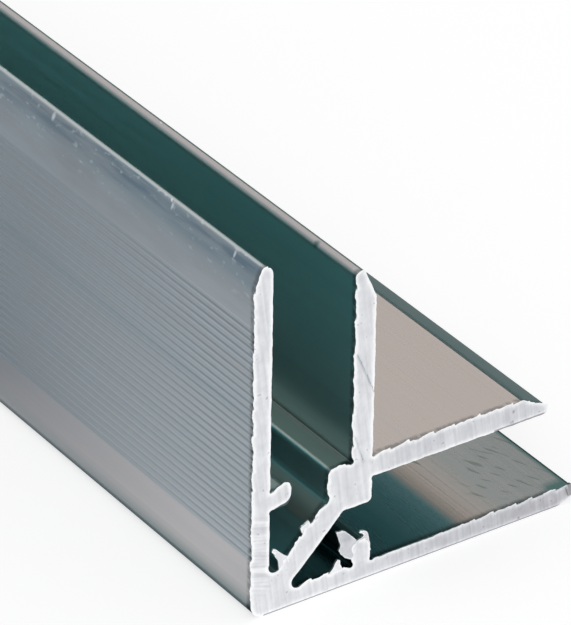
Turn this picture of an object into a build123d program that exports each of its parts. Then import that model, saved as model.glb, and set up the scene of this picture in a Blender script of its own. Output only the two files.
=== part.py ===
# A bar of aluminium corner extrusion with two panel slots at right angles, sawn square at both ends.
# All sizes are in millimetres. The section stands in X and Z, and the bar runs along Y.

import os
from math import sqrt

from build123d import *

# length of the bar as it is sold
bar_length = 1000.0

# outer L, each leg measured from the outer corner
leg_width = 30.0
outer_wall = 1.4
outer_corner_radius = 1.0

# inner L, one panel thickness away from the outer one
slot_width = 7.6
inner_wall = 1.65
inner_setback = 3.0

# square knot where the two inner legs cross, and the web from it to the outer corner
knot_width = 3.8
web_thickness = 1.8
web_root_radius = 0.6

# stop rib on each outer leg, level with the knot, where a panel's edge comes to rest
rib_thickness = 1.5
rib_height = 1.9
rib_radius = 0.55

# outer leg tips, tapered on the outside by way of a soft bend and rounded on the slot side
outer_tip_length = 1.6
outer_tip_taper = 0.7
outer_tip_bend = 2.0
outer_tip_radius = 0.25
outer_tip_round = 0.4

# inner leg tips, chamfered to a narrow nose on the side away from the slot and rounded on the slot side
inner_tip_length = 2.3
inner_tip_nose = 0.6
inner_tip_radius = 0.15
inner_tip_round = 0.4

# the knot's two free corners, and the small roots of the inside corners
knot_radius = 0.4
root_radius = 0.2

# fine flutes along both outer faces, with a plain band at the corner and at the tip
plain_band = 5.0
flute_pitch = 0.667
flute_width = 0.5
flute_depth = 0.1

# heights across one leg, which are also the distances along the other
slot_top = outer_wall + slot_width
inner_face = slot_top + inner_wall
knot_low = inner_face - knot_width
rib_top = outer_wall + rib_height
rib_back = inner_face - rib_thickness
inner_reach = leg_width - inner_setback
web_offset = web_thickness / sqrt(2)

# each flute is the arc of a circle that stands outside the face
flute_radius = ((flute_width / 2) ** 2 + flute_depth**2) / (2 * flute_depth)
flute_centre = flute_depth - flute_radius
flute_count = round((leg_width - 2 * plain_band) / flute_pitch)

# corners of the lower half, from the outer corner round to the inner one, each with its radius
lower_corners = [
    ((leg_width - outer_tip_length, 0), outer_tip_bend),
    ((leg_width, outer_tip_taper), outer_tip_radius),
    ((leg_width, outer_wall), outer_tip_round),
    ((inner_face, outer_wall), root_radius),
    ((inner_face, rib_top), rib_radius),
    ((rib_back, rib_top), rib_radius),
    ((rib_back, outer_wall), root_radius),
    ((outer_wall + web_offset, outer_wall), web_root_radius),
    ((knot_low + web_offset, knot_low), web_root_radius),
    ((inner_face, knot_low), knot_radius),
    ((inner_face, slot_top), root_radius),
    ((inner_reach, slot_top), inner_tip_round),
    ((inner_reach, slot_top + inner_tip_nose), inner_tip_radius),
    ((inner_reach - inner_tip_length, inner_face), 0),
]

# the upper half is the lower one mirrored in the diagonal
upper_corners = [((z, x), radius) for (x, z), radius in reversed(lower_corners)]
outer_corner = [((0, 0), outer_corner_radius)]
inner_corner = [((inner_face, inner_face), root_radius)]
corners = outer_corner + lower_corners + inner_corner + upper_corners

with BuildPart() as bar:
    with BuildSketch(Plane.XZ) as section:
        with BuildLine():
            FilletPolyline(
                *[point for point, radius in corners],
                radius=[radius for point, radius in corners],
                close=True,
            )
        make_face()
        # flutes under the lower leg and up the outside of the upright one
        with Locations((leg_width / 2, flute_centre)):
            with GridLocations(flute_pitch, flute_pitch, flute_count, 1):
                Circle(flute_radius, mode=Mode.SUBTRACT)
        with Locations((flute_centre, leg_width / 2)):
            with GridLocations(flute_pitch, flute_pitch, 1, flute_count):
                Circle(flute_radius, mode=Mode.SUBTRACT)
    extrude(amount=bar_length / 2, both=True)

# the bar lies on its lower leg, with its middle over the origin
profile = Pos(-leg_width / 2, 0, 0) * bar.part.solid()
profile.label = "extrusion_profile"

os.makedirs("parts", exist_ok=True)
export_step(profile, "parts/extrusion_profile.step")
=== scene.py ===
import math

import bmesh
import bpy
from mathutils import Matrix, Vector, kdtree, noise
from mathutils.geometry import delaunay_2d_cdt


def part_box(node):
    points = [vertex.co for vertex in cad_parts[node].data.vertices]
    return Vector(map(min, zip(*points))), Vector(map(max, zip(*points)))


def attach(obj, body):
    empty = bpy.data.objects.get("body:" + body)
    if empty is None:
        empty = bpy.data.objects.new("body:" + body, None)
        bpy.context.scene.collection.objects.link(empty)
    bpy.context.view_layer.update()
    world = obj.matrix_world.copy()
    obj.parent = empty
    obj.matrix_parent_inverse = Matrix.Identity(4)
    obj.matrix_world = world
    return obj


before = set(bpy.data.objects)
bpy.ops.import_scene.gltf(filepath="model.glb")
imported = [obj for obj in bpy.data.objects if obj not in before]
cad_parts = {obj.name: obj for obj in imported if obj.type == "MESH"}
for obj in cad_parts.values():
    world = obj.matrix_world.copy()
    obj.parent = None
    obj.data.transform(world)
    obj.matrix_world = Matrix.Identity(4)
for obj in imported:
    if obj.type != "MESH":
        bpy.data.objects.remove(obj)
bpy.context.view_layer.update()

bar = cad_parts["extrusion_profile"]
barLow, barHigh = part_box("extrusion_profile")
nearEnd, farEnd = barLow[1], barHigh[1]
mm = 0.001


def linear(hexCode):   # sRGB hex to the linear colour that shaders take
    parts = [int(hexCode[i:i + 2], 16) / 255 for i in (1, 3, 5)]
    return [c / 12.92 if c <= 0.04045 else ((c + 0.055) / 1.055) ** 2.4 for c in parts] + [1.0]


def clamp(value):
    return min(max(value, 0), 1)


def rise(value, start, stop):   # 0 before the start, 1 past the stop
    return clamp((value - start) / (stop - start))


def addNode(tree, kind, feeds=None, **settings):   # feeds: socket to a value or to another node's output
    node = tree.nodes.new(kind)
    for key, value in settings.items():
        setattr(node, key, value)
    for key, value in (feeds or {}).items():
        if isinstance(value, bpy.types.NodeSocket):
            tree.links.new(value, node.inputs[key])
        else:
            node.inputs[key].default_value = value
    return node


def emptyMaterial(name):
    mat = bpy.data.materials.new(name)
    mat.use_nodes = True
    mat.node_tree.nodes.clear()
    return mat


def addPiece(name, mesh):
    piece = bpy.data.objects.new(name, mesh)
    bpy.context.scene.collection.objects.link(piece)
    return piece


def cutPiece(name, shape):   # a built shape as a piece of saw-cut metal, its faces outward
    bmesh.ops.recalc_face_normals(shape, faces=shape.faces)
    mesh = bpy.data.meshes.new(name)
    shape.to_mesh(mesh)
    shape.free()
    mesh.materials.append(sawCutMat)
    return addPiece(name, mesh)


def sectionPoint(x, z):   # section millimetres from the outer corner to the frame's metres
    return Vector((barLow[0] + x * mm, barLow[2] + z * mm))


# mill-finish aluminium
millFinish = {
    # the outer face from its foot to its tip, and its flutes, with a warm painted reflection at the root,
    # painted shade along the sill, a bluer painted reflection on the tip band, and painted light and shade in
    # the flutes
    "root": "#B6B3B4", "sill": "#76898A", "outer": "#A8AEB2", "tip": "#96A1A7", "mottle": "#929294",
    "bruise": "#5A7485", "flute": "#BFC6CA", "groove": "#626D73", "fluteEvenTone": "#9DA3A7",
    # the slots: walls, ledge, knot, web and ribs, in painted reflections, with painted shade in the crease
    "slot": "#94BCBE", "slotTop": "#ACE0E1", "wallFoot": "#C0D1CE", "ledge": "#B9ABA0", "crease": "#76756E",
    "knotSide": "#BFDFE1", "rib": "#56706F", "ribTop": "#C8B5AF",
    # the lower leg from the knot outwards, the inner corner and the tips, in painted reflections and painted
    # shade
    "deep": "#668D91", "rim": "#A89D95", "leg": "#8E918F", "inner": "#B3A9A3", "chamfer": "#A4AEAD",
    "innerTip": "#AEAAA8", "nose": "#B4B9B8", "noseBack": "#74898A",
    # streaks and marks, with painted shade for the rolled edges, the dents and the lower leg's tip edge
    "cool": "#7F939C", "warm": "#A79E99", "scuff": "#C2CACE", "scratch": "#66706A", "rolledEdgeShade": "#5F6162",
    "darkTealShade": "#4F6E6B", "nick": "#E2E6E6", "shade": "#1E2E2D",
    "roughness": 0.25, "roughSpan": 0.04, "outerRough": 0.17, "slotRough": 0.14,
    "lineLevels": (0.3, 0.7), "lineBump": 0.06, "lineDepth": 0.02,
    # grains: mm across and along the bar, detail, and for the scratches a turn in degrees
    "dieLine": (0.20, 60.0, 3.0), "streak": (1.8, 160.0, 2.0), "scuffGrain": (0.40, 0.8, 2.0),
    "scratchGrain": (0.34, 2.0, 0.0, 24.0), "scratchPatch": (6.0, 6.0, 0.0),
    "bruiseGrain": (0.45, 5.5, 2.0), "mottleGrain": (2.0, 9.0, 2.0),
    # how a grain shows: from one level to another, and the most it covers
    "mottleLevel": (0.40, 0.70, 0.45), "bruiseLevel": (0.40, 0.66, 0.60), "scuffLevel": (0.62, 0.72, 0.55),
    "scratchLevel": (0.67, 0.76, 0.7), "patchLevel": (0.45, 0.57, 1.0), "rolledShadeLevel": (0.25, 0.55, 0.65),
    "coolLevel": (0.45, 0.25, 0.2), "warmLevel": (0.55, 0.75, 0.12),
    # where a zone starts, in section mm from the outer corner, and over how many mm it comes in
    "fade": 0.3, "skin": 0.9, "legDepth": 2.2, "innerDepth": 10.2, "chamferFrom": 24.8, "legEdge": 29.25,
    "sillTop": (0.4, 2.0), "rootBand": (4.6, 0.8), "tipBand": (26.5, 2.4), "mottleFrom": (24.4, 1.5),
    "bruiseFrom": (28.4, 0.9), "scuffFrom": (26.5, 1.5), "slotTopFrom": (13.0, 9.0),
    "rimFrom": (18.7, 0.8), "legFrom": (20.3, 3.5), "scratchFrom": (18.7, 1.0), "dentShadeFrom": (27.5, 0.5),
    "innerNose": (26.35, 0.5), "outerNose": (29.6, 0.2), "noseSide": (0.76, 0.08),
    "noseBackFrom": (29.3, 0.3), "noseBackSide": (1.0, 0.1),
    # how far a zone reaches from a cut, in mm, and over how many mm it goes out
    "sillReach": (8.0, 30.0), "fluteLightReach": (6.0, 24.0), "rolledShadeReach": (0.5, 0.3), "dentShadeLength": (0.7, 0.9),
    "mouth": (0.35, 0.3), "mouthShare": 0.85, "lipShade": (0.3, 0.3), "lipShadeShare": 0.6,
    # flutes in mm, and the middle of a land between two of them
    "flutes": (4.9, 25.1), "fluteEnd": 0.1, "fluteSkin": 0.3, "flutePitch": 0.667, "landMiddle": 15.0,
    # where their tints start and are full, on a wave that is 1 on a land and -1 in a flute
    "fluteWave": (0.8, 0.5), "grooveWave": (0.1, -0.9), "fluteEvenWave": (0.3, -0.7), "fluteEvenShift": -0.15,
    # shares far from the cuts and at them
    "sillShare": (0.5, 1.0), "fluteShare": (0.41176, 1.0), "grooveShare": (0.08087, 0.62),
    # boxes in the section: x from and to, z from and to
    "footBox": (8.8, 9.2, 10.6, 10.9), "footEdge": 0.1, "footFade": 2.8,
    "ribEnd": (1.6, 3.5, 8.9, 10.95), "boxFade": 0.15,
    # the same as rows: colour, share, box and fade
    "wallBoxes": [
        ("ledge", 0.8, (6.95, 9.05, 10.35, 10.95), 0.15), ("crease", 1.0, (8.78, 9.0, 10.6, 10.9), 0.04),
        ("ledge", 0.7, (5.0, 6.75, 6.0, 8.4), 0.3), ("shade", 0.7, (1.0, 3.0, 1.0, 4.3), 0.4),
        ("knotSide", 1.0, (6.7, 7.2, 7.0, 10.4), 0.15),
    ],
    "ribBoxes": [
        ("rib", 1.0, (8.9, 10.9, 1.9, 3.6), 0.15), ("ribTop", 0.85, (1.3, 3.5, 10.2, 10.95), 0.15),
    ],
    # marks of handling and painted shade: colour, share, size in mm, stretch along the bar, then x, way along
    # the bar and z; the nicks are bright, and the dark spots are painted shade at a ding, under the knot's
    # lip and at the outer foot's corner
    "spots": [
        ("darkTealShade", 0.8, 0.40, 1.0, (9.15, 5.5, 26.8)), ("shade", 0.9, 0.75, 0.7, (8.6, 0.3, 10.75)),
        ("nick", 0.8, 0.42, 0.40, (0.5, 3.6, 29.7)), ("nick", 0.8, 0.40, 0.45, (0.5, 11.8, 29.75)),
        ("nick", 0.8, 0.45, 0.60, (0.5, 28.0, 29.7)), ("shade", 0.95, 0.8, 0.7, (0.05, 0.4, 0.6)),
    ],
    "spotCore": 0.4,
}


def makeMillFinish(s):
    # extruded aluminium as it leaves the press: grey half mirror, drawn lines along the bar, and zone colours
    # that are painted reflections and painted shade
    mat = emptyMaterial("aluminium_mill_finish_extruded")
    tree = mat.node_tree
    place = addNode(tree, "ShaderNodeTexCoord").outputs["Object"]
    xyz = addNode(tree, "ShaderNodeSeparateXYZ", {0: place}).outputs
    barLength = (farEnd - nearEnd) / mm

    def grain(across, along, detail, turn=0.0):   # noise drawn out along the bar, from its size in mm
        space = addNode(tree, "ShaderNodeMapping", {
            "Vector": place, "Rotation": (0, 0, math.radians(turn)),
            "Scale": (across * mm, along * mm, across * mm)}, vector_type="TEXTURE")
        return addNode(tree, "ShaderNodeTexNoise", {
            "Vector": space.outputs[0], "Scale": 1.0, "Detail": detail}).outputs[0]

    def sums(kind, a, b):
        return addNode(tree, "ShaderNodeMath", {0: a, 1: b}, operation=kind).outputs[0]

    def meet(share, *others):   # where all the shares meet
        for other in others:
            share = sums("MULTIPLY", share, other)
        return share

    def rest(share):
        return sums("SUBTRACT", 1.0, share)

    def above(value, low, high, most):   # a share that grows from 0 to its most between two levels
        return addNode(tree, "ShaderNodeMapRange", {
            "Value": value, "From Min": low, "From Max": high, "To Max": most}).outputs[0]

    def between(value, least, most):   # from one share to another
        return addNode(tree, "ShaderNodeMapRange", {
            "Value": value, "To Min": least, "To Max": most}).outputs[0]

    def past(axis, depth, fade=s["fade"]):   # 0 before a depth in mm, 1 behind it
        low = barLow[axis] + depth * mm
        return addNode(tree, "ShaderNodeMapRange", {
            "Value": xyz[axis], "From Min": low, "From Max": low + fade * mm}).outputs[0]

    def within(left, right, low, top, fade=s["boxFade"]):   # a box in the section
        return meet(past(0, left, fade), rest(past(0, right - fade, fade)),
                    past(2, low, fade), rest(past(2, top - fade, fade)))

    def besideCuts(start, fade):   # 1 at both sawn ends, 0 further along the bar
        return sums("MAXIMUM", rest(past(1, start, fade)), past(1, barLength - start - fade, fade))

    def wave(axis, edge, full, shift=0.0):   # a share in each flute of the face that lies along an axis
        start = barLow[axis] + (s["landMiddle"] + shift) * mm
        turn = sums("MULTIPLY", sums("SUBTRACT", xyz[axis], start), 2 * math.pi / (s["flutePitch"] * mm))
        swing = addNode(tree, "ShaderNodeMath", {0: turn}, operation="COSINE").outputs[0]
        low, high = s["flutes"]
        fluted = meet(past(axis, low, s["fluteEnd"]), rest(past(axis, high, s["fluteEnd"])))
        onFace = rest(past(2 - axis, s["fluteSkin"]))
        return meet(above(swing, edge, full, 1.0), fluted, onFace)

    def inFlutes(edge, full):   # on both outer faces
        return sums("MAXIMUM", wave(2, edge, full), wave(0, edge, full))

    def tint(under, share, colour):
        return addNode(tree, "ShaderNodeMix", {
            0: share, 6: under, 7: linear(s[colour])}, data_type="RGBA").outputs[2]

    dieLine = grain(*s["dieLine"])
    streak = grain(*s["streak"])
    scuff = grain(*s["scuffGrain"])
    scratch = grain(*s["scratchGrain"])
    patch = grain(*s["scratchPatch"])
    bruise = grain(*s["bruiseGrain"])
    mottle = grain(*s["mottleGrain"])

    outside = rest(past(0, s["skin"]))
    behind = meet(past(0, s["skin"]), past(2, s["skin"]))
    inside = meet(past(0, s["innerDepth"]), past(2, s["innerDepth"]))
    onLeg = rest(past(2, s["legDepth"]))
    lowerLeg = meet(behind, onLeg)

    # the outer face, from its foot to its tip: painted shade along the sill beside the cuts, a warm painted
    # reflection on the root band, a bluer painted reflection on the tip band
    sill = meet(rest(past(2, *s["sillTop"])), outside, between(besideCuts(*s["sillReach"]), *s["sillShare"]))
    skin = tint(linear(s["root"]), sill, "sill")
    skin = tint(skin, past(2, *s["rootBand"]), "outer")
    skin = tint(skin, past(2, *s["tipBand"]), "tip")
    skin = tint(skin, meet(above(mottle, *s["mottleLevel"]), past(2, *s["mottleFrom"])), "mottle")

    # painted light in the flutes: a painted highlight across each flute and a painted shade line in its
    # middle, strongest beside the cuts, and further along a painted tone on the half of each flute that faces
    # up, which evens out its reflected stripes
    fluteLightNearCuts = besideCuts(*s["fluteLightReach"])
    groove = inFlutes(*s["grooveWave"])
    skin = tint(skin, meet(inFlutes(*s["fluteWave"]), between(fluteLightNearCuts, *s["fluteShare"])), "flute")
    skin = tint(skin, meet(groove, between(fluteLightNearCuts, *s["grooveShare"])), "groove")
    skin = tint(skin, meet(wave(2, *s["fluteEvenWave"], s["fluteEvenShift"]), rest(fluteLightNearCuts)), "fluteEvenTone")
    skin = tint(skin, meet(above(bruise, *s["bruiseLevel"]), past(2, *s["bruiseFrom"])), "bruise")

    # painted reflection: the slots teal, lighter teal higher up
    skin = tint(skin, behind, "slot")
    skin = tint(skin, meet(behind, past(2, *s["slotTopFrom"])), "slotTop")
    # painted reflections at the wall's foot, on the ledge, the web and the knot's side, and painted shade in
    # the crease and the cavity's lower corner
    left, right, bottom, top = s["footBox"]
    foot = meet(past(0, left, s["footEdge"]), rest(past(0, right, s["footEdge"])),
                past(2, bottom, s["footEdge"]), rest(past(2, top, s["footFade"])))
    skin = tint(skin, foot, "wallFoot")
    for colour, share, box, fade in s["wallBoxes"]:
        skin = tint(skin, meet(within(*box, fade), share), colour)
    # the lower leg: painted shade in dark teal towards the knot, then painted reflections, warmer and then
    # greyer further out
    skin = tint(skin, lowerLeg, "deep")
    # painted reflections on the ribs: dark teal on the lower rib, warm white on the upright's rib top
    for colour, share, box, fade in s["ribBoxes"]:
        skin = tint(skin, meet(within(*box, fade), share), colour)
    skin = tint(skin, meet(lowerLeg, past(0, *s["rimFrom"])), "rim")
    skin = tint(skin, meet(lowerLeg, past(0, *s["legFrom"])), "leg")

    # the inner corner and the tips: painted reflections on the inner corner, the chamfer and the inner tip, a
    # painted highlight on the outer nose and painted shade behind it
    skin = tint(skin, inside, "inner")
    skin = tint(skin, meet(past(0, s["chamferFrom"]), past(2, s["legDepth"])), "chamfer")
    skin = tint(skin, meet(past(2, *s["innerNose"]), past(0, s["legDepth"])), "innerTip")
    skin = tint(skin, meet(past(2, *s["outerNose"]), past(0, *s["noseSide"])), "nose")
    skin = tint(skin, meet(past(2, *s["noseBackFrom"]), past(0, *s["noseBackSide"])), "noseBack")

    # cool and warm streaks, pale scuffs along the upright tips, dark scratches on the lower leg
    skin = tint(skin, above(streak, *s["coolLevel"]), "cool")
    skin = tint(skin, above(streak, *s["warmLevel"]), "warm")
    skin = tint(skin, meet(above(scuff, *s["scuffLevel"]), past(2, *s["scuffFrom"])), "scuff")
    scratched = meet(above(scratch, *s["scratchLevel"]), above(patch, *s["patchLevel"]))
    skin = tint(skin, meet(scratched, lowerLeg, past(0, *s["scratchFrom"])), "scratch")

    # painted shade beside the cuts, where the saw rolled the edges over: dark dots in the flutes' mouths and
    # behind the lips, and a dark teal where it dented the lower leg's corner at the near one; also dark teal
    # painted shade along the lower leg's tip edge
    skin = tint(skin, meet(besideCuts(*s["rolledShadeReach"]), above(scuff, *s["rolledShadeLevel"])), "rolledEdgeShade")
    skin = tint(skin, meet(besideCuts(*s["mouth"]), groove, s["mouthShare"]), "shade")
    shaded = sums("MAXIMUM", lowerLeg, within(*s["ribEnd"]))
    skin = tint(skin, meet(besideCuts(*s["lipShade"]), shaded, s["lipShadeShare"]), "shade")
    skin = tint(skin, meet(lowerLeg, past(0, *s["dentShadeFrom"]), rest(past(1, *s["dentShadeLength"]))), "darkTealShade")
    skin = tint(skin, meet(lowerLeg, past(0, s["legEdge"])), "darkTealShade")
    for colour, share, size, stretch, spot in s["spots"]:
        shrink = (1, 1 / stretch, 1)
        middle = [(start + way * mm) * part for start, way, part in zip(barLow, spot, shrink)]
        drawn = addNode(tree, "ShaderNodeVectorMath", {0: place, 1: shrink}, operation="MULTIPLY").outputs[0]
        off = addNode(tree, "ShaderNodeVectorMath", {0: drawn, 1: middle}, operation="DISTANCE").outputs[1]
        skin = tint(skin, above(off, size * mm, size * mm * s["spotCore"], share), colour)

    faint, strong = s["lineLevels"]
    rough = addNode(tree, "ShaderNodeMapRange", {
        "Value": dieLine, "From Min": faint, "From Max": strong,
        "To Min": s["roughness"] - s["roughSpan"], "To Max": s["roughness"] + s["roughSpan"]}).outputs[0]
    rough = sums("ADD", rough, meet(outside, s["outerRough"]))
    rough = sums("ADD", rough, meet(behind, rest(inside), rest(onLeg), s["slotRough"]))
    bump = addNode(tree, "ShaderNodeBump", {
        "Strength": s["lineBump"], "Distance": s["lineDepth"] * mm, "Height": dieLine}).outputs[0]
    metal = addNode(tree, "ShaderNodeBsdfPrincipled", {
        "Base Color": skin, "Metallic": 1.0, "Roughness": rough, "Normal": bump})
    addNode(tree, "ShaderNodeOutputMaterial", {"Surface": metal.outputs[0]})
    return mat


# saw-cut aluminium
sawCut = {
    "bright": "#FCFDFE", "dull": "#D3D4D9", "greyPitsAndShade": "#A3A1A4", "roughness": 0.40,
    "tooth": 0.12, "toothLength": 2.5, "toothTurn": -8.0,   # mm across and along the finest marks, degrees
    "patch": 0.9, "pit": 0.45, "pitLevels": (0.70, 0.80),
    "toothShare": 0.25, "patchShare": 0.7, "pitShare": -0.9,
    "toothBump": 0.3, "toothDepth": 0.02,
}


def makeSawCut(s):
    # fresh cut metal: almost white and matt, with a painted highlight at its torn edges, grey in its pits and
    # where painted shade falls on it
    mat = emptyMaterial("aluminium_saw_cut")
    tree = mat.node_tree
    place = addNode(tree, "ShaderNodeTexCoord").outputs["Object"]
    tone = addNode(tree, "ShaderNodeAttribute", attribute_name="cutTone").outputs["Fac"]

    def noiseOf(size, detail, turn=0.0):
        space = addNode(tree, "ShaderNodeMapping", {
            "Vector": place, "Rotation": (0, math.radians(turn), 0),
            "Scale": [length * mm for length in size]}, vector_type="TEXTURE")
        return addNode(tree, "ShaderNodeTexNoise", {
            "Vector": space.outputs[0], "Scale": 1.0, "Detail": detail}).outputs[0]

    def share(value, low, high):
        return addNode(tree, "ShaderNodeMapRange", {
            "Value": value, "From Min": low, "From Max": high}).outputs[0]

    def mix(part, under, over):
        return addNode(tree, "ShaderNodeMix", {0: part, 6: under, 7: over}, data_type="RGBA").outputs[2]

    tooth = noiseOf((s["tooth"], s["patch"], s["toothLength"]), 3.0, s["toothTurn"])
    patch = noiseOf([s["patch"]] * 3, 2.0)
    pit = share(noiseOf([s["pit"]] * 3, 1.0), *s["pitLevels"])
    for grain, middle, weight in ((tooth, 0.5, s["toothShare"]), (patch, 0.5, s["patchShare"]),
                                  (pit, 0.0, s["pitShare"])):
        level = addNode(tree, "ShaderNodeMath", {0: grain, 1: middle}, operation="SUBTRACT").outputs[0]
        tone = addNode(tree, "ShaderNodeMath", {
            0: level, 1: weight, 2: tone}, operation="MULTIPLY_ADD").outputs[0]
    grey = mix(share(tone, -1.0, 0.0), linear(s["greyPitsAndShade"]), linear(s["dull"]))
    face = mix(share(tone, 0.0, 1.0), grey, linear(s["bright"]))
    bump = addNode(tree, "ShaderNodeBump", {
        "Strength": s["toothBump"], "Distance": s["toothDepth"] * mm, "Height": tooth}).outputs[0]
    metal = addNode(tree, "ShaderNodeBsdfPrincipled", {
        "Base Color": face, "Metallic": 1.0, "Roughness": s["roughness"], "Normal": bump})
    addNode(tree, "ShaderNodeOutputMaterial", {"Surface": metal.outputs[0]})
    return mat


millFinishMat = makeMillFinish(millFinish)
sawCutMat = makeSawCut(sawCut)
bar.data.materials.clear()
bar.data.materials.append(millFinishMat)
print("materials ready")


# sawn ends: a thin skin of cut metal with a ragged lip and tooth marks
sawnEnd = {
    "step": 0.08, "grid": 0.09, "shake": 0.25, "shakeScale": 7,   # mm between rim points and face points
    "legsFrom": 20.0,   # a height in section mm that only the upright legs reach
    "proud": 0.05, "depth": 0.25, "inset": 0.03,
    # the torn lip: its height in mm, and the way the saw dragged metal in section x and z
    "lip": 0.08, "dragLip": 0.46, "drag": (-0.55, 0.84),
    "tear": 2.1, "tearLean": 0.8, "tearWander": 0.5, "tearStart": 0.25, "tearRise": 0.55, "tearRip": 0.5,
    "rip": 0.8, "ripFractal": (0.7, 2.0, 3),
    "insideTurn": -0.02, "cornerRise": 0.5, "freeLip": 9.0,
    # the lower leg's top, past an x and below a height: the lip's least and most share, from and to an x
    "calm": (10.0, 2.0, 0.2, 0.85, 16.0, 22.0), "topFacing": 0.5,
    "flutes": (4.5, 25.5), "fluteDepth": 0.12,   # the lip covers the flutes
    # tooth marks: upright, but level on the upright leg's foot, left of an x and between two heights
    "markDepth": 0.022, "markPitch": 0.30, "markLength": 7.0, "markTurn": 8.0, "markFractal": (0.8, 2.0, 3),
    "crossMarks": (1.7, 1.6, 9.4), "crossFades": (0.4, 1.0, 0.8),
    "crossPitch": 0.42, "crossLean": 0.33, "crossGain": 3.0,
    "scores": [((9.15, 20.1), (10.7, 16.5)), ((9.0, 13.2), (9.9, 10.6))],   # from and to, in section mm
    "scoreWidth": 0.16, "scoreDepth": 0.06, "scoreTone": 0.35,
    "tone": 0.32, "toneSpan": 0.55, "edgeHighlight": 0.9, "edgeWidth": 0.24, "rootTone": -0.5,
    "underLines": [(-0.1, 0.10, 1.0), (8.9, 9.12, 22.0)], "underTone": -1.3,   # from and to a height, from x
    "legTipShade": [(1.6, 0.85, 6.0, 27.0), (12.0, 0.26, 10.0, 13.0)],   # below a height: most, and from and to x
    "ribBase": 1.5, "ribTip": 3.1, "ribLift": 0.38, "ribReach": 3.6, "ribHeights": (9.0, 11.2),
    "seed": 7, "seedNear": 3.0, "seedFar": 11.0,
}


def endOutline():
    # boundary of the triangles on the near end, as one anticlockwise ring of section points in mm
    mesh = bar.data
    spot, edges = {}, set()
    for face in mesh.polygons:
        corners = [mesh.vertices[i].co for i in face.vertices]
        if all(abs(c.y - nearEnd) < 1e-6 for c in corners):
            names = [(round(c.x * 1e6), round(c.z * 1e6)) for c in corners]
            spot.update({n: Vector((c.x - barLow[0], c.z - barLow[2])) / mm for n, c in zip(names, corners)})
            edges.update(zip(names, names[1:] + names[:1]))
    follow = {a: b for a, b in edges if (b, a) not in edges}
    ring = [min(follow)]
    while follow[ring[-1]] != ring[0]:
        ring.append(follow[ring[-1]])
    points = [spot[name] for name in ring]
    turn = sum(a.cross(b) for a, b in zip(points, points[1:] + points[:1]))
    return points if turn > 0 else points[::-1]


def rimOf(points, step):
    # an outline at even small steps, each point with its way out
    rim, ways = [], []
    for a, b in zip(points, points[1:] + points[:1]):
        parts = max(1, round((b - a).length / step))
        normal = Vector((b.y - a.y, a.x - b.x)).normalized()
        rim += [a.lerp(b, i / parts) for i in range(parts)]
        ways += [normal] * parts
    return rim, [(way + ways[i - 1]).normalized() for i, way in enumerate(ways)]


def lipLimits(ways, s):
    # no burr in the inside corners, and a growing one away from them
    count = len(ways)
    turns = [ways[i - 1].cross(ways[(i + 1) % count]) for i in range(count)]
    limits = [0.0 if turn < s["insideTurn"] else s["freeLip"] for turn in turns]
    growth = s["step"] * s["cornerRise"]
    for order in (range(2 * count), range(2 * count - 1, -1, -1)):
        last = s["freeLip"]
        for i in order:
            limits[i % count] = last = min(limits[i % count], last + growth)
    return limits


def markAt(p, seed, s):
    # height of the tooth marks, from 0 to 1
    turn = math.radians(s["markTurn"])
    across = p.x * math.cos(turn) + p.y * math.sin(turn)
    leaning = p.y + s["crossLean"] * p.x
    upright = noise.fractal(Vector((across / s["markPitch"], p.y / s["markLength"], seed)), *s["markFractal"])
    level = noise.fractal(Vector((p.x / s["markLength"], leaning / s["crossPitch"], seed)), *s["markFractal"])
    right, low, top = s["crossMarks"]
    rightFade, lowFade, topFade = s["crossFades"]
    share = clamp((right - p.x) / rightFade) * clamp((top - p.y) / topFade) * clamp((p.y - low) / lowFade)
    height = upright * (1 - share) + s["crossGain"] * level * share
    return clamp(0.5 + 0.5 * height)


def lipAt(p, way, seed, s):
    # how far the torn lip stands out: long ramps that break off short, ragged on top
    spot = Vector((p.x, p.y, seed))
    along = (p.x + s["tearLean"] * p.y) / s["tear"] + s["tearWander"] * noise.noise(spot / s["tear"])
    ramp = along - math.floor(along)
    rip = 0.5 + 0.5 * noise.fractal(spot / s["rip"], *s["ripFractal"])
    pull = max(0, way.dot(Vector(s["drag"])))
    ribSide, height, least, most, start, stop = s["calm"]
    if p.x > ribSide and p.y < height and way.y > s["topFacing"]:
        pull *= least + (most - least) * rise(p.x, start, stop)
    tear = clamp(s["tearStart"] + s["tearRise"] * ramp + s["tearRip"] * (rip - 0.5))
    return s["lip"] * rip + s["dragLip"] * pull * tear


def legTipShadeAt(p, s):
    # painted shade: the ends of the level legs turn grey towards their tips
    for height, most, start, stop in s["legTipShade"]:
        if p.y < height:
            return most * rise(p.x, start, stop)
    return 0.0


def underAt(p, s):   # lower edges that the light does not reach
    return any(low < p.y < high and p.x > start for low, high, start in s["underLines"])


def scoreAt(p, s):
    # depth share of the long slanted scores, 1 in the middle of a score
    depth = 0.0
    for a, b in s["scores"]:
        a, b = Vector(a), Vector(b)
        along = clamp((p - a).dot(b - a) / (b - a).length_squared)
        depth = max(depth, 1 - (p - a.lerp(b, along)).length / s["scoreWidth"])
    return depth


def ribLift(p, s):   # the saw bent the end of the upright leg's rib upwards
    low, high = s["ribHeights"]
    bends = p.x < s["ribReach"] and low < p.y < high
    return Vector((0, s["ribLift"] * rise(p.x, s["ribBase"], s["ribTip"]) if bends else 0))


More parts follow.
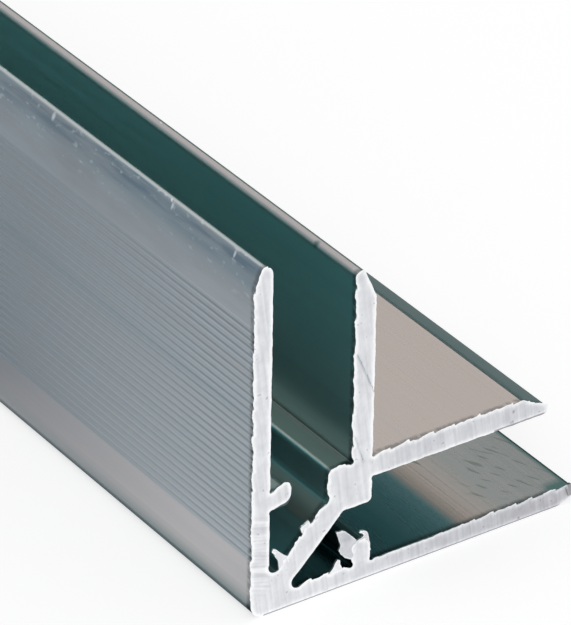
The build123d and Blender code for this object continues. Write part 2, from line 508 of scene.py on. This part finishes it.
def tornRim(rim, ways, seed, bent, s):
    # the rim moved out to its torn lip
    low, high = s["flutes"]
    torn = []
    for p, way, limit in zip(rim, ways, lipLimits(ways, s)):
        start = p.copy()
        if p.x < s["fluteDepth"] and low < p.y < high:
            start.x, way, limit = 0.0, Vector((-1, 0)), s["freeLip"]
        if p.y < s["fluteDepth"] and low < p.x < high:
            start.y, way, limit = 0.0, Vector((0, -1)), s["freeLip"]
        lip = start + way * min(lipAt(start, way, seed, s), limit)
        if bent:
            lip += ribLift(p, s)
        torn.append(Vector((lip.x, max(lip.y, 0.0))))   # nothing hangs below the floor
    return torn


def facePoints(seed, s):
    # a fine grid over both legs, each point shaken a little
    grid = s["grid"]
    count = int((barHigh[0] - barLow[0]) / mm / grid)
    wall = max(p.x for p in sectionRing if p.y > s["legsFrom"])
    points = []
    for i in range(count):
        for k in range(count):
            p = Vector(((i + 0.5) * grid, (k + 0.5) * grid))
            if min(p.x, p.y) < wall:
                shake = noise.noise_vector(Vector((p.x, p.y, seed)) * s["shakeScale"]).xy
                points.append(p + grid * s["shake"] * shake)
    return points


def flatFill(ring, inside):
    # triangles inside a ring, as points and faces, with the ring's points first and in order
    count = len(ring)
    edges = [(i, (i + 1) % count) for i in range(count)]
    points, _, faces, _, _, _ = delaunay_2d_cdt(ring + inside, edges, [], 1, 1e-7)
    return points, faces


def makeSawnEnd(name, end, out, seed, bent, s):
    rim, ways = rimOf(sectionRing, s["step"])
    front = tornRim(rim, ways, seed, bent, s)
    edge = kdtree.KDTree(len(front))
    for i, p in enumerate(front):
        edge.insert(p.to_3d(), i)
    edge.balance()
    points, faces = flatFill(front, facePoints(seed, s))
    shape = bmesh.new()
    cutTone = shape.verts.layers.float.new("cutTone")
    frontVerts = {}
    for i in sorted({i for face in faces for i in face}):
        p = points[i]
        mark = markAt(p, seed, s) - 0.5
        score = scoreAt(p, s) if bent else 0
        nearness = math.exp(-(edge.find(p.to_3d())[2] / s["edgeWidth"]) ** 2)
        spot = sectionPoint(p.x, p.y)
        y = end + out * (s["proud"] + s["markDepth"] * mark - s["scoreDepth"] * score) * mm
        frontVerts[i] = shape.verts.new((spot.x, y, spot.y))
        # the tone: tooth marks and scores, painted shade towards the level legs' tips and on the lower edges,
        # and a painted highlight near the rim
        tone = s["tone"] + s["toneSpan"] * mark - s["scoreTone"] * score - legTipShadeAt(p, s)
        frontVerts[i][cutTone] = s["underTone"] if underAt(p, s) else tone + s["edgeHighlight"] * nearness
    for face in faces:
        shape.faces.new([frontVerts[i] for i in face])
    # the skin's root, sunk in the bar, and the flared lip between the two
    root, rootFaces = flatFill([p - way * s["inset"] for p, way in zip(rim, ways)], [])
    rootVerts = []
    for p in root:
        spot = sectionPoint(p.x, p.y)
        rootVerts.append(shape.verts.new((spot.x, end - out * s["depth"] * mm, spot.y)))
        rootVerts[-1][cutTone] = s["rootTone"]
    for face in rootFaces:
        shape.faces.new([rootVerts[i] for i in reversed(face)])
    count = len(rim)
    for i in range(count):
        k = (i + 1) % count
        shape.faces.new((frontVerts[k], frontVerts[i], rootVerts[i], rootVerts[k]))
    return cutPiece(name, shape)


noise.seed_set(sawnEnd["seed"])   # without a seed, noise_vector differs from run to run
sectionRing = endOutline()
sawPieces = [makeSawnEnd("sawn_end_near", nearEnd, -1, sawnEnd["seedNear"], True, sawnEnd),
             makeSawnEnd("sawn_end_far", farEnd, 1, sawnEnd["seedFar"], False, sawnEnd)]
for piece in sawPieces:
    print(piece.name, len(piece.data.vertices), "points", len(piece.data.polygons), "faces")


# torn burrs left by the saw on the near end: flaps of dragged metal, each a tone and an outline in section mm
tornBurrs = {
    "thickness": 0.16, "proud": 0.10, "curl": 0.25, "curlScale": 0.9, "jag": 0.05, "jagScale": 3,
    "step": 0.09, "rings": (0.15, 0.5), "every": 3, "edgeHighlight": 0.7, "seed": 5.0, "seedStep": 4.7,
    "flaps": {
        "ribFlap": (0.0, [
            (8.95, 2.15), (8.3, 2.6), (7.9, 3.1), (7.75, 3.4), (7.8, 4.0), (7.7, 4.6), (7.6, 5.0),
            (8.1, 5.0), (8.45, 4.8), (8.8, 4.4), (9.3, 3.9), (9.5, 3.4), (9.4, 2.4)]),
        "ribHook": (0.4, [
            (10.75, 2.4), (10.7, 3.0), (10.6, 3.5), (10.5, 3.9), (10.3, 4.2), (10.0, 4.42), (9.7, 4.47),
            (9.58, 4.33), (9.85, 4.2), (10.05, 4.0), (10.0, 3.85), (9.75, 3.7), (9.35, 3.7), (9.3, 2.4)]),
        "footChip": (0.6, [
            (6.9, 1.5), (7.3, 2.1), (7.5, 2.4), (7.7, 2.6), (7.95, 2.4), (8.0, 2.1), (8.2, 1.5)]),
        "webSpur": (0.5, [
            (2.3, 3.7), (2.25, 4.5), (2.0, 5.0), (1.75, 5.35), (1.85, 5.6), (2.15, 5.45), (2.5, 5.1),
            (2.85, 4.75), (3.1, 4.6), (3.3, 4.0)]),
        "webChip": (0.6, [
            (4.5, 6.0), (4.2, 6.6), (4.35, 6.75), (5.0, 7.05), (5.2, 6.5)]),
        # painted shade: the tip sliver's tone is dark grey
        "tipSliver": (-1.3, [
            (29.2, 1.35), (29.5, 1.7), (30.0, 1.4), (31.0, 1.05), (31.5, 0.7), (31.1, 0.35),
            (30.2, 0.55), (29.4, 0.6)]),
    },
}


def jagged(corners, seed, s):
    # a flap's outline, anticlockwise and torn
    ring, ways = rimOf([Vector(c) for c in corners], s["step"])
    if sum(a.cross(b) for a, b in zip(ring, ring[1:] + ring[:1])) < 0:
        ring, ways = ring[::-1], [-way for way in ways[::-1]]
    scale = s["jagScale"]
    tears = [s["jag"] * noise.noise(Vector((p.x * scale, p.y * scale, seed))) for p in ring]
    return [p + way * tear for p, way, tear in zip(ring, ways, tears)]


def makeTornBurrs(s):
    shape = bmesh.new()
    cutTone = shape.verts.layers.float.new("cutTone")
    for number, (tone, corners) in enumerate(s["flaps"].values()):
        seed = s["seed"] + number * s["seedStep"]
        ring = jagged(corners, seed, s)
        count = len(ring)
        middle = sum(ring, Vector((0, 0))) / count
        inside = [ring[i].lerp(middle, share) for share in s["rings"] for i in range(0, count, s["every"])]
        points, faces = flatFill(ring, inside + [middle])
        layers = []
        for back in (0, 1):   # the cut side and the side that faces into the bar
            layer = []
            for i, p in enumerate(points):
                curl = noise.noise(Vector((p.x * s["curlScale"], p.y * s["curlScale"], seed)))
                lift = s["curl"] * curl + s["proud"]
                spot = sectionPoint(p.x, p.y)
                vert = shape.verts.new((spot.x, nearEnd - (lift - back * s["thickness"]) * mm, spot.y))
                # a painted highlight along each flap's edge
                vert[cutTone] = tone + (s["edgeHighlight"] if i < count else 0)
                layer.append(vert)
            layers.append(layer)
        cut, inner = layers
        for face in faces:
            shape.faces.new([cut[i] for i in face])
            shape.faces.new([inner[i] for i in reversed(face)])
        for i in range(count):
            k = (i + 1) % count
            shape.faces.new((cut[k], cut[i], inner[i], inner[k]))
    return cutPiece("torn_burrs", shape)


burrs = makeTornBurrs(tornBurrs)
print(burrs.name, len(burrs.data.polygons), "faces")


# handling nicks: small bright lips along the tips of the legs
tipNicks = {
    "tips": [(0.80, 29.93), (9.42, 26.93), (29.93, 0.80), (26.93, 9.42)],   # section mm, a line for each leg
    "perMetre": 70, "size": 0.18, "smallest": 0.25, "stretch": 2.2, "flat": 0.5,
    "turnFrom": (-0.5, -0.9, -0.5), "turnTo": (0.5, 0.2, 0.5), "margin": 2.0, "seed": 4,
}


def tipNickTree(s):
    tree = bpy.data.node_groups.new("tipNicks", "GeometryNodeTree")
    for name, kind in (("Geometry", "Geometry"), ("Count", "Int"), ("Size", "Float"), ("Stretch", "Float"),
                       ("Slip", "Float"), ("Seed", "Int"), ("Material", "Material")):
        tree.interface.new_socket(name, in_out="INPUT", socket_type="NodeSocket" + kind)
    tree.interface.new_socket("Geometry", in_out="OUTPUT", socket_type="NodeSocketGeometry")
    given = addNode(tree, "NodeGroupInput").outputs

    def times(a, b):
        return addNode(tree, "ShaderNodeMath", {0: a, 1: b}, operation="MULTIPLY").outputs[0]

    def anyFloat(low, high):
        return addNode(tree, "FunctionNodeRandomValue", {
            2: low, 3: high, 8: given["Seed"]}, data_type="FLOAT").outputs[1]

    line = addNode(tree, "GeometryNodeMeshToCurve", {0: given["Geometry"]}).outputs[0]
    dots = addNode(tree, "GeometryNodeCurveToPoints", {
        "Curve": line, "Count": given["Count"]}, mode="COUNT").outputs[0]
    # each nick slips along the tip, so that no two gaps are alike
    slip = anyFloat(times(given["Slip"], -1.0), given["Slip"])
    along = addNode(tree, "ShaderNodeCombineXYZ", {"Y": slip}).outputs[0]
    dots = addNode(tree, "GeometryNodeSetPosition", {"Geometry": dots, "Offset": along}).outputs[0]
    lump = addNode(tree, "GeometryNodeMeshIcoSphere", {"Radius": given["Size"], "Subdivisions": 1}).outputs[0]
    big = anyFloat(s["smallest"], 1.0)
    size = addNode(tree, "ShaderNodeCombineXYZ", {
        "X": big, "Y": times(big, given["Stretch"]), "Z": times(big, s["flat"])}).outputs[0]
    turn = addNode(tree, "FunctionNodeRandomValue", {
        0: s["turnFrom"], 1: s["turnTo"], 8: given["Seed"]}, data_type="FLOAT_VECTOR").outputs[0]
    nicks = addNode(tree, "GeometryNodeInstanceOnPoints", {
        "Points": dots, "Instance": lump, "Rotation": turn, "Scale": size}).outputs[0]
    real = addNode(tree, "GeometryNodeRealizeInstances", {0: nicks}).outputs[0]
    done = addNode(tree, "GeometryNodeSetMaterial", {
        "Geometry": real, "Material": given["Material"]}).outputs[0]
    addNode(tree, "NodeGroupOutput", {0: done})
    return tree


def makeTipNicks(s):
    # one line for each leg's tip, then a few bright lumps on it
    mesh = bpy.data.meshes.new("tipLines")
    slip = 0.5 / s["perMetre"]
    inset = slip + s["margin"] * mm
    points = []
    for x, z in s["tips"]:
        spot = sectionPoint(x, z)
        points += [(spot.x, nearEnd + inset, spot.y), (spot.x, farEnd - inset, spot.y)]
    mesh.from_pydata(points, [(i, i + 1) for i in range(0, len(points), 2)], [])
    source = addPiece("tipLines", mesh)
    modifier = source.modifiers.new("nicks", "NODES")
    modifier.node_group = tipNickTree(s)
    sockets = {i.name: i.identifier for i in modifier.node_group.interface.items_tree if i.in_out == "INPUT"}
    for key, value in (("Count", s["perMetre"]), ("Size", s["size"] * mm), ("Stretch", s["stretch"]),
                       ("Slip", slip), ("Seed", s["seed"]), ("Material", sawCutMat)):
        modifier[sockets[key]] = value
    held = source.evaluated_get(bpy.context.evaluated_depsgraph_get())
    baked = bpy.data.meshes.new_from_object(held)
    source.modifiers.remove(modifier)
    bpy.data.objects.remove(source)
    return addPiece("tip_nicks", baked)


nicks = makeTipNicks(tipNicks)
print(nicks.name, len(nicks.data.polygons), "faces")

for piece in sawPieces + [burrs, nicks]:
    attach(piece, "root")


# floor, cards, world and lamp
studio = {
    "floor": 80.0, "floorDrop": 0.02, "glow": 0.64, "share": 0.48, "bounce": 0.8, "sky": 0.62,
    "lampPlace": (-0.7, -1.3, 1.1), "lampSize": 0.9, "lampPower": 9.0,   # from the near end, metres and watts
    # cards: colours before and behind two places along the bar, then two corners and the way to the others
    "cards": {
        "card_blue": ("#C9CFD4", "#C9CFD4", (0.0, 1.0),
                      (-0.30, -0.9, 0.0), (-0.30, 1.4, 0.0), (0.0, 0.0, 0.50)),
        "card_teal": ("#3C6264", "#3C6264", (0.0, 1.0),
                      (0.055, -0.6, 0.0), (0.055, 0.6, 0.0), (0.0, 0.0, 0.036)),
        # card_foot and card_side are painted shade: grey beyond the near end, so that the metal reflects a
        # darker floor along the bar
        "card_foot": ("#FFFFFF", "#73838F", (-0.49, -0.45),
                      (-0.016, -0.5, 0.0005), (-0.016, 0.6, 0.0005), (-0.006, 0.0, 0.0)),
        "card_side": ("#FFFFFF", "#A0A9AF", (-0.475, -0.44),
                      (-0.022, -0.5, 0.0005), (-0.022, 0.6, 0.0005), (-0.015, 0.0, 0.0)),
        "card_tip": ("#DADFE2", "#F0F4F7", (-0.463, -0.43),
                     (-0.037, -0.5, 0.0005), (-0.037, 0.6, 0.0005), (-0.015, 0.0, 0.0)),
        "card_far": ("#C9CFD4", "#C9CFD4", (0.0, 1.0),
                     (-0.052, -0.5, 0.0005), (-0.052, 1.4, 0.0005), (-0.25, 0.0, 0.0)),
        # card_line is a painted shadow: a dark strip under the outer corner that the metal reflects as its
        # contact shadow
        "card_line": ("#7A878F", "#7A878F", (0.0, 1.0),
                      (-0.0157, -0.5, -0.00001), (-0.0157, 0.5, -0.00001), (0.003, 0.0, 0.0)),
    },
}


def seenRays(tree):   # 1 for what the camera, metal and glass see, 0 for what lights the object
    path = addNode(tree, "ShaderNodeLightPath").outputs
    seen = path["Is Camera Ray"]
    for ray in ("Is Glossy Ray", "Is Transmission Ray"):
        seen = addNode(tree, "ShaderNodeMath", {0: seen, 1: path[ray]}, operation="MAXIMUM").outputs[0]
    return seen


def makeFloor(s):
    # white paper: part of its white is its own, so that the shadow on it stays faint
    mat = emptyMaterial("paper_white_matt")
    tree = mat.node_tree
    plain = addNode(tree, "ShaderNodeBsdfDiffuse", {"Color": (s["bounce"],) * 3 + (1,)})
    part = addNode(tree, "ShaderNodeBsdfDiffuse", {"Color": (s["share"],) * 3 + (1,)})
    glow = addNode(tree, "ShaderNodeEmission", {"Color": (1, 1, 1, 1), "Strength": s["glow"]})
    white = addNode(tree, "ShaderNodeAddShader", {0: part.outputs[0], 1: glow.outputs[0]})
    mix = addNode(tree, "ShaderNodeMixShader", {0: seenRays(tree), 1: plain.outputs[0], 2: white.outputs[0]})
    addNode(tree, "ShaderNodeOutputMaterial", {"Surface": mix.outputs[0]})
    half, level = s["floor"] / 2, -s["floorDrop"] * mm
    corners = [(-half, -half, level), (half, -half, level), (half, half, level), (-half, half, level)]
    mesh = bpy.data.meshes.new("floor")
    mesh.from_pydata(corners, [], [(0, 1, 2, 3)])
    mesh.materials.append(mat)
    addPiece("floor", mesh)


def makeCard(name, near, far, fade, start, end, across):
    # a coloured card that only the metal's reflections see
    mat = emptyMaterial(name + "_board")
    tree = mat.node_tree
    place = addNode(tree, "ShaderNodeTexCoord").outputs["Object"]
    along = addNode(tree, "ShaderNodeSeparateXYZ", {0: place}).outputs["Y"]
    share = addNode(tree, "ShaderNodeMapRange", {
        "Value": along, "From Min": fade[0], "From Max": fade[1]}).outputs[0]
    tone = addNode(tree, "ShaderNodeMix", {
        0: share, 6: linear(near), 7: linear(far)}, data_type="RGBA").outputs[2]
    glow = addNode(tree, "ShaderNodeEmission", {"Color": tone, "Strength": 1.0})
    addNode(tree, "ShaderNodeOutputMaterial", {"Surface": glow.outputs[0]})
    mesh = bpy.data.meshes.new(name)
    a, b, way = Vector(start), Vector(end), Vector(across)
    mesh.from_pydata([a, b, b + way, a + way], [], [(0, 1, 2, 3)])
    mesh.materials.append(mat)
    card = addPiece(name, mesh)
    card.visible_camera = card.visible_diffuse = card.visible_shadow = False
    card.visible_transmission = card.visible_volume_scatter = False


def makeWorld(s):
    world = bpy.data.worlds.new("studio")
    bpy.context.scene.world = world
    world.use_nodes = True
    tree = world.node_tree
    tree.nodes.clear()
    level = addNode(tree, "ShaderNodeMapRange", {"Value": seenRays(tree), "To Min": s["sky"], "To Max": 1.0})
    sky = addNode(tree, "ShaderNodeBackground", {"Color": (1, 1, 1, 1), "Strength": level.outputs[0]})
    addNode(tree, "ShaderNodeOutputWorld", {"Surface": sky.outputs[0]})


def makeLamp(s):
    lamp = bpy.data.lights.new("soft_key", "AREA")
    lamp.shape = "DISK"
    lamp.size = s["lampSize"]
    lamp.energy = s["lampPower"]
    light = bpy.data.objects.new("soft_key", lamp)
    bpy.context.scene.collection.objects.link(light)
    light.location = Vector((0, nearEnd, 0)) + Vector(s["lampPlace"])
    light.rotation_euler = (-Vector(s["lampPlace"])).to_track_quat("-Z", "Y").to_euler()
    light.visible_camera = False


makeFloor(studio)
for name, card in studio["cards"].items():
    makeCard(name, *card)
makeWorld(studio)
makeLamp(studio)

# the camera, in degrees and mm, aimed at a point of the near end in section mm
cameraSet = {
    "azimuth": -35.0, "elevation": 31.07, "roll": 1.0, "distance": 400.0, "aim": (2.59, 25.88),
    "lens": 318.5, "sensor": 36.0, "clip": (0.01, 200.0),
}


def makeCamera(s):
    az, el, roll = (math.radians(s[k]) for k in ("azimuth", "elevation", "roll"))
    back = Vector((math.sin(az) * math.cos(el), -math.cos(az) * math.cos(el), math.sin(el)))
    right = Vector((math.cos(az), math.sin(az), 0))
    up = back.cross(right)
    side = right * math.cos(roll) + up * math.sin(roll)
    top = up * math.cos(roll) - right * math.sin(roll)
    aim = sectionPoint(*s["aim"])
    data = bpy.data.cameras.new("camera")
    data.lens, data.sensor_width = s["lens"], s["sensor"]
    data.clip_start, data.clip_end = s["clip"]
    camera = bpy.data.objects.new("camera", data)
    bpy.context.scene.collection.objects.link(camera)
    pose = Matrix((side, top, back)).transposed().to_4x4()
    pose.translation = Vector((aim.x, nearEnd, aim.y)) + back * s["distance"] * mm
    camera.matrix_world = pose
    bpy.context.scene.camera = camera


makeCamera(cameraSet)
bpy.context.scene.view_settings.view_transform = "Standard"
print("stage, lamp and camera ready")
